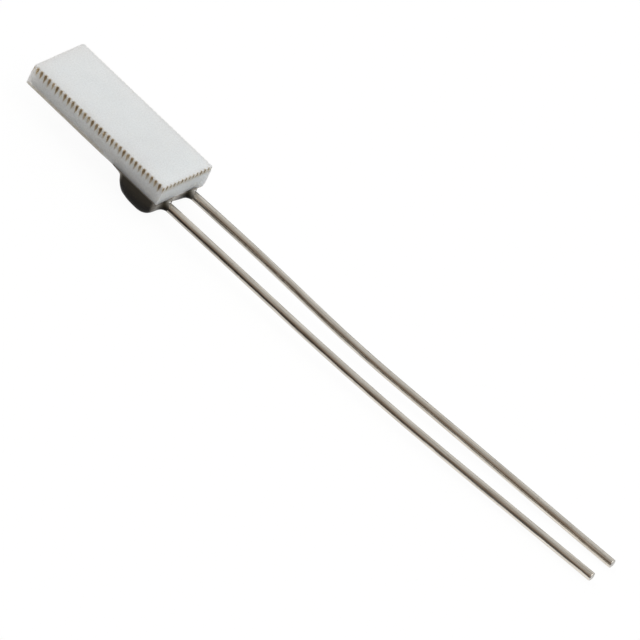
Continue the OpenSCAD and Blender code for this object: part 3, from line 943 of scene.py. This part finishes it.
def bulge(at, power):
    """1 at 0 and 0 at 1 and beyond: the square root of 1 minus the distance to the power."""
    return np.sqrt(np.maximum(0, 1 - np.minimum(1, np.abs(at)) ** power))


def hump(y, middle, width, power=2):
    """A bell: e to the minus power of the distance from the middle over the width. It is 1
    in the middle and close to 0 from twice the width on."""
    return np.exp(-((y - middle) / width) ** power)


def drop_back(drop, y, crest):
    """The underside from the foot's end to the crest: x, depth, and x at the foot's end. Its
    depth is a squarish bulge for the body and another for the foot, which is filled up in
    the corner by a hollow curve that falls away exponentially."""
    tail = drop.back + drop.foot * (1 + 0.12 * ripple(y * 5, y * 0, 51))
    u = np.sin(np.pi / 2 * np.linspace(-1, 0, 46)[:-1])[None]
    x = crest + tail * u
    body = bulge((crest - x) / drop.back, BACK_POWER)
    fillet = drop.fillet * np.exp(-np.maximum(0, crest - drop.back - x) / drop.fillet_fade)
    foot = (drop.foot_height + fillet * (1 - body)) * bulge(u, BACK_POWER)
    return x, (drop.height - drop.foot_height) * body + foot, crest - tail


def drop_front(drop, y, crest, pitch, roots):
    """The front from the crest up to the ceramic: x and depth. It is a quarter ellipse that
    draws back between the leads by a cosine, and bulges on the far side of each."""
    beyond = np.maximum(0, y - roots[0])
    front = drop.front - drop.recess * (1 - np.cos(2 * np.pi * beyond / pitch)) / 2
    for root, size in zip(roots, (1.0, 0.6)):
        front = front + size * drop.shoulder * hump(y, root + 0.17, 0.07)
    steep = np.concatenate([np.cos(np.linspace(0, FRONT_TURN, 20))[:-1],
                            np.linspace(math.cos(FRONT_TURN), 0, 60)])[None]
    return crest + front * np.sqrt(1 - steep ** 2), drop.height * steep


def drop_lip(drop, y, end, start, roots):
    """The glaze that climbs the chip's end face on the near side of each lead: x and height.
    start is x where the front meets the ceramic."""
    rise = (0.6 * hump(y, roots[0] - 0.12, CLIMB_WIDTH, 4)
            + hump(y, roots[1] - 0.18, CLIMB_WIDTH, 4))
    k = np.linspace(0, 1, 11)[None, 1:]
    film = 0.006 * rise + 0.001
    x = start + (end + film - start) * smooth_step(rise, 0.02, 0.6)
    return x - film * smooth_step(k, 0.6, 1.0), (0.004 + drop.climb * rise) * k


def creep(drop, leads, end, x, y, z, roots):
    """Draws the front forward along each lead, by an amount that falls off exponentially
    with distance from the wire and is less on the wire's bared side. Returns the new x, how
    clearly the wire shows, and where a highlight is painted on the glaze at its root."""
    r = leads.diameter / 2
    from_axis = z - (leads.pad_face - r)
    forward = smooth_step(x, end - 0.25, end - 0.02)
    clear, glint = np.zeros_like(x), np.zeros_like(x)
    for root in roots:
        away = np.hypot(y - root, from_axis * np.where(from_axis > 0, 1.0, 1.25))
        facing = BARED_SIDE[0] * (y - root) + BARED_SIDE[1] * from_axis
        bare = smooth_step(facing / np.maximum(away, r / 2), -0.1, 0.9)
        fade = drop.creep_fade * (1.5 - 0.1 * bare)
        close = forward * np.exp(-np.maximum(0, away - r) / fade)
        x = x + drop.creep * (1.3 - 0.8 * bare) * close
        clear = np.maximum(clear, bare * close)
        # painted highlight: a white spot on the glaze at the top of each root
        glint = np.maximum(glint, bare ** 4 * forward * hump(away, r, GLINT_WIDTH))
    return x, clear, glint


def paleness(x, y, depth, end, foot, roots):
    """How much of the white ceramic shows through: on the foot, and on the front where it
    thins out, half as much on the near side of the near lead, and hardly beside the leads,
    where humps of painted shade keep the glaze dark. foot is where the body starts."""
    near, far = roots
    # painted shade: humps beside each lead, and one on the web side of the near lead below the chip,
    # where the glaze is kept dark
    painted_shade = np.maximum(hump(y, near - 0.16, 0.14), hump(y, far - 0.19, 0.17))
    painted_shade = np.maximum(painted_shade, 0.9 * hump(y, near + 0.15, 0.09) * smooth_step(depth, -0.03, 0.05))
    web = smooth_step(y, -0.6, -0.3)
    thinned = smooth_step(x, end - 0.16 - 0.14 * web, end - 0.05 - 0.04 * web)
    return np.maximum(thinned * (1 - painted_shade) * (0.5 + 0.5 * web),
                      0.8 * (1 - smooth_step(x, foot - 0.05, foot + 0.12)))


def drop_surface(drop, chip, leads, cover):
    """The drop as closed profiles side by side across the chip. Each runs from its foot along
    the underside of the drop, up its rounded front, a little way up the chip's end face, and
    back through the ceramic. Its depth is multiplied by a bulge across the chip. Returns the
    profiles, their poles, and the layers thin, clear, glint and pale of its glaze: glint is a
    painted highlight, and pale is held down by painted shade beside the leads."""
    end, level = chip.length / 2, -chip.thickness
    crest = end - drop.front
    half = chip.width / 2 - drop.border
    y = half * np.sin(np.pi / 2 * np.linspace(-1, 1, PROFILES + 2)[1:-1])[:, None]
    roots = [side * leads.pitch / 2 - leads.shift for side in (NEAR, FAR)]
    across = bulge(y / half, SIDE_POWER)
    back_x, back_depth, foot_end = drop_back(drop, y, crest)
    front_x, front_depth = drop_front(drop, y, crest, leads.pitch, roots)
    lip_x, lip_height = drop_lip(drop, y, end, front_x[:, -1:], roots)
    covered = smooth_step(half - np.abs(y), 0.07, 0.11) * smooth_step(-back_x, -1.5, -1.3)
    back_z = level - back_depth * across - cover.glass_thickness * covered
    x = np.concatenate([back_x, front_x, lip_x], axis=1)
    z = np.concatenate([back_z, level - front_depth * across, level + lip_height], axis=1)
    x, clear, glint = creep(drop, leads, end, x, y, z, roots)
    soft = 0.0025 * (1 + ripple(x * 4, y * 4 + z * 3, 57)) * smooth_step(level - z, 0.05, 0.3)
    z = z + soft
    thin = 1 - smooth_step(level - z, 0.0, 0.16) * smooth_step(across, 0.1, 0.75)
    pale = paleness(x, y, level - z, end, crest - drop.back, roots)

    inner_x = np.concatenate([np.full_like(y, end - 0.05), np.full_like(y, crest),
                              foot_end + 0.05], axis=1)
    x = np.concatenate([x, inner_x], axis=1)
    z = np.concatenate([z, np.full_like(inner_x, level + ROOF)], axis=1)
    layers = {"thin": thin, "clear": clear, "glint": glint, "pale": pale}
    layers = {key: np.concatenate([value, np.zeros_like(inner_x)], axis=1)
              for key, value in layers.items()}
    grid = np.stack([x, np.broadcast_to(y, x.shape), z], axis=2)
    return grid, [(crest, -half, level), (crest, half, level)], layers


class DETECTOR_OT_drop(bpy.types.Operator):
    """Adds the drop of fired glaze that holds the leads under the chip"""

    bl_idname = "detector.drop"
    bl_label = "Fixing drop"
    bl_options = {"REGISTER", "UNDO"}

    def execute(self, context):
        drop, chip, leads, cover, finish = sizes(context, "drop", "chip", "leads", "cover", "finish")
        surface = drop_surface(drop, chip, leads, cover)
        glaze = new_material("fired_glaze", glaze_look, finish)
        add_piece("glaze_drop", surface, glaze, "drop_glaze", "fixing_drop")
        return {"FINISHED"}


# ---------------- studio

LOOK_AT = (6.853, 1.7831, -2.0353)
SENSOR = 36.0                # width of the camera's sensor, in Blender's own millimetres
NEAREST, FURTHEST = 0.01, 10.0     # the camera's clipping distances, in metres
FLOOR_HALF = 0.6             # half the floor's width, in metres
GRAZING = (0.42, 0.66)       # where Facing, 0 for a ray straight down, counts as grazing
ROOM = ((0.0, 0.82), (0.25, 0.66), (0.5, 0.51), (0.71, 0.42), (0.89, 0.29), (0.95, 0.2),
        (1.0, 0.15))         # the room's brightness, from the far side to the camera's side


def floor_look(t, finish):
    """A floor that glows close to white for the camera. Other rays see it mostly diffuse and
    darker at grazing angles, and mirrored rays see it darker near the chip too, as a floor
    in the chip's own shade. It can be seen through from below."""
    tone = finish.floor
    slope = t.add("LayerWeight", {"Blend": 0.5}, output="Facing")
    seen, shiny = t.seen_by("Camera"), t.seen_by("Glossy")
    flat = t.add("BsdfDiffuse", {
        "Color": t.blend(t.spread(slope, *GRAZING), tone, tuple(0.08 * c for c in tone))})
    glow = t.blend(seen, t.spread(slope, *GRAZING, 1.45, 0.14), (1.02, 1.02, 1.02))
    lit = t.add("Emission", {"Color": glow, "Strength": 1.0})
    glowing = t.plus(t.spread(seen, 0.0, 1.0, 0.15, 0.93), t.times(shiny, 0.3))
    upper = t.add("MixShader", {0: glowing, 1: flat, 2: lit})
    dim = t.times(t.spread(t.along_leads(), 2.0, 14.0, 0.95, 0.0),
                  t.spread(slope, 0.35, 0.5, 0.35, 1.0))
    unlit = t.add("Emission", {"Strength": 0.0})
    upper = t.add("MixShader", {0: t.times(shiny, dim), 1: upper, 2: unlit})
    backface = t.add("NewGeometry", output="Backfacing")
    return t.add("MixShader", {
        0: backface, 1: upper, 2: t.add("BsdfTransparent")})


def add_camera(scene, studio):
    """A long lens from above and to one side, rolled about its own axis."""
    a, e = studio.azimuth, studio.elevation
    back = Vector((math.sin(a) * math.cos(e), -math.cos(a) * math.cos(e), math.sin(e)))
    data = bpy.data.cameras.new("camera")
    data.lens, data.sensor_width = studio.lens, SENSOR
    data.clip_start, data.clip_end = NEAREST, FURTHEST
    camera = bpy.data.objects.new("camera", data)
    turn = (-back).to_track_quat("-Z", "Y").to_matrix() @ Matrix.Rotation(studio.roll, 3, "Z")
    place = Vector(LOOK_AT) * MM + back * studio.distance * MM
    camera.matrix_world = Matrix.Translation(place) @ turn.to_4x4()
    scene.collection.objects.link(camera)
    scene.camera = camera
    scene.view_settings.view_transform = "Standard"


def add_floor(scene, finish):
    """A wide pale floor at the object's lowest point."""
    size, z = FLOOR_HALF, CAD_BOX[0][2]
    corners = [(-size, -size, z), (size, -size, z), (size, size, z), (-size, size, z)]
    mesh = bpy.data.meshes.new("floor")
    mesh.from_pydata(corners, [], [(0, 1, 2, 3)])
    floor = bpy.data.objects.new("floor", mesh)
    scene.collection.objects.link(floor)
    mesh.materials.append(new_material("pale_floor", floor_look, finish))


def add_sky(scene, studio):
    """A room whose brightness falls away towards the camera's side, where it has one
    dark patch, and two bright panels above: one ahead of the leads, one behind."""
    world = bpy.data.worlds.new("soft_light")
    scene.world = world
    t = Tree(world)
    way = t.add("TexCoord", output="Generated")

    def toward(x, y, z):
        """The cosine of the angle between a ray and this direction."""
        return t.add("VectorMath", {0: way, 1: (x, y, z)}, output="Value",
                     operation="DOT_PRODUCT")

    def patch(direction, outer, inner, around, within):
        """Runs from one value beyond an angle from a direction to another within it."""
        return t.spread(toward(*direction), math.cos(outer), math.cos(inner), around, within)

    near = t.spread(toward(-0.1, -0.995, 0.0), -1.0, 1.0)
    dark = patch((-0.42, -0.89, 0.2), 0.38, 0.08, 1.0, 0.22)
    ahead = patch((0.5, 0.0, 0.866), 0.5, 0.3, 0.0, 1.45)
    behind = patch((-0.79, 0.1, 0.6), 0.5, 0.3, 0.0, 1.6)
    strength = t.plus(t.times(t.curve(near, ROOM), dark), t.plus(ahead, behind))
    tint = t.blend(t.spread(near, 0.6, 1.0), (1.0, 1.0, 0.99), (1.0, 0.76, 0.58))
    light = t.add("Background", {
        "Color": tint, "Strength": t.times(strength, studio.sky)})
    t.add("OutputWorld", {"Surface": light})


class DETECTOR_OT_studio(bpy.types.Operator):
    """Adds the camera, the pale floor and the soft light"""

    bl_idname = "detector.studio"
    bl_label = "Camera, floor and light"
    bl_options = {"REGISTER", "UNDO"}

    def execute(self, context):
        scene = context.scene
        studio, finish = sizes(context, "studio", "finish")
        add_camera(scene, studio)
        add_floor(scene, finish)
        add_sky(scene, studio)
        return {"FINISHED"}


# ---------------- add-on

OPERATORS = (DETECTOR_OT_studio, DETECTOR_OT_chip, DETECTOR_OT_film, DETECTOR_OT_glass,
             DETECTOR_OT_leads, DETECTOR_OT_drop)


class DETECTOR_PT_sidebar(bpy.types.Panel):
    """Lists the detector's pieces in the 3D view's sidebar"""

    bl_label = "Temperature detector"
    bl_idname = "DETECTOR_PT_sidebar"
    bl_space_type = "VIEW_3D"
    bl_region_type = "UI"
    bl_category = "Detector"

    def draw(self, context):
        for operator in OPERATORS:
            self.layout.operator(operator.bl_idname)


CLASSES = (*GROUPS.values(), *OPERATORS, DETECTOR_PT_sidebar)


def register():
    for cls in CLASSES:
        bpy.utils.register_class(cls)
    for key, cls in GROUPS.items():
        setattr(bpy.types.Scene, key, PointerProperty(type=cls))


def unregister():
    for key in GROUPS:
        delattr(bpy.types.Scene, key)
    for cls in reversed(CLASSES):
        bpy.utils.unregister_class(cls)


def main():
    register()
    bpy.ops.detector.studio()
    bpy.ops.detector.chip()
    bpy.ops.detector.film()
    bpy.ops.detector.glass()
    bpy.ops.detector.leads()
    bpy.ops.detector.drop()


if __name__ == "__main__":
    main()
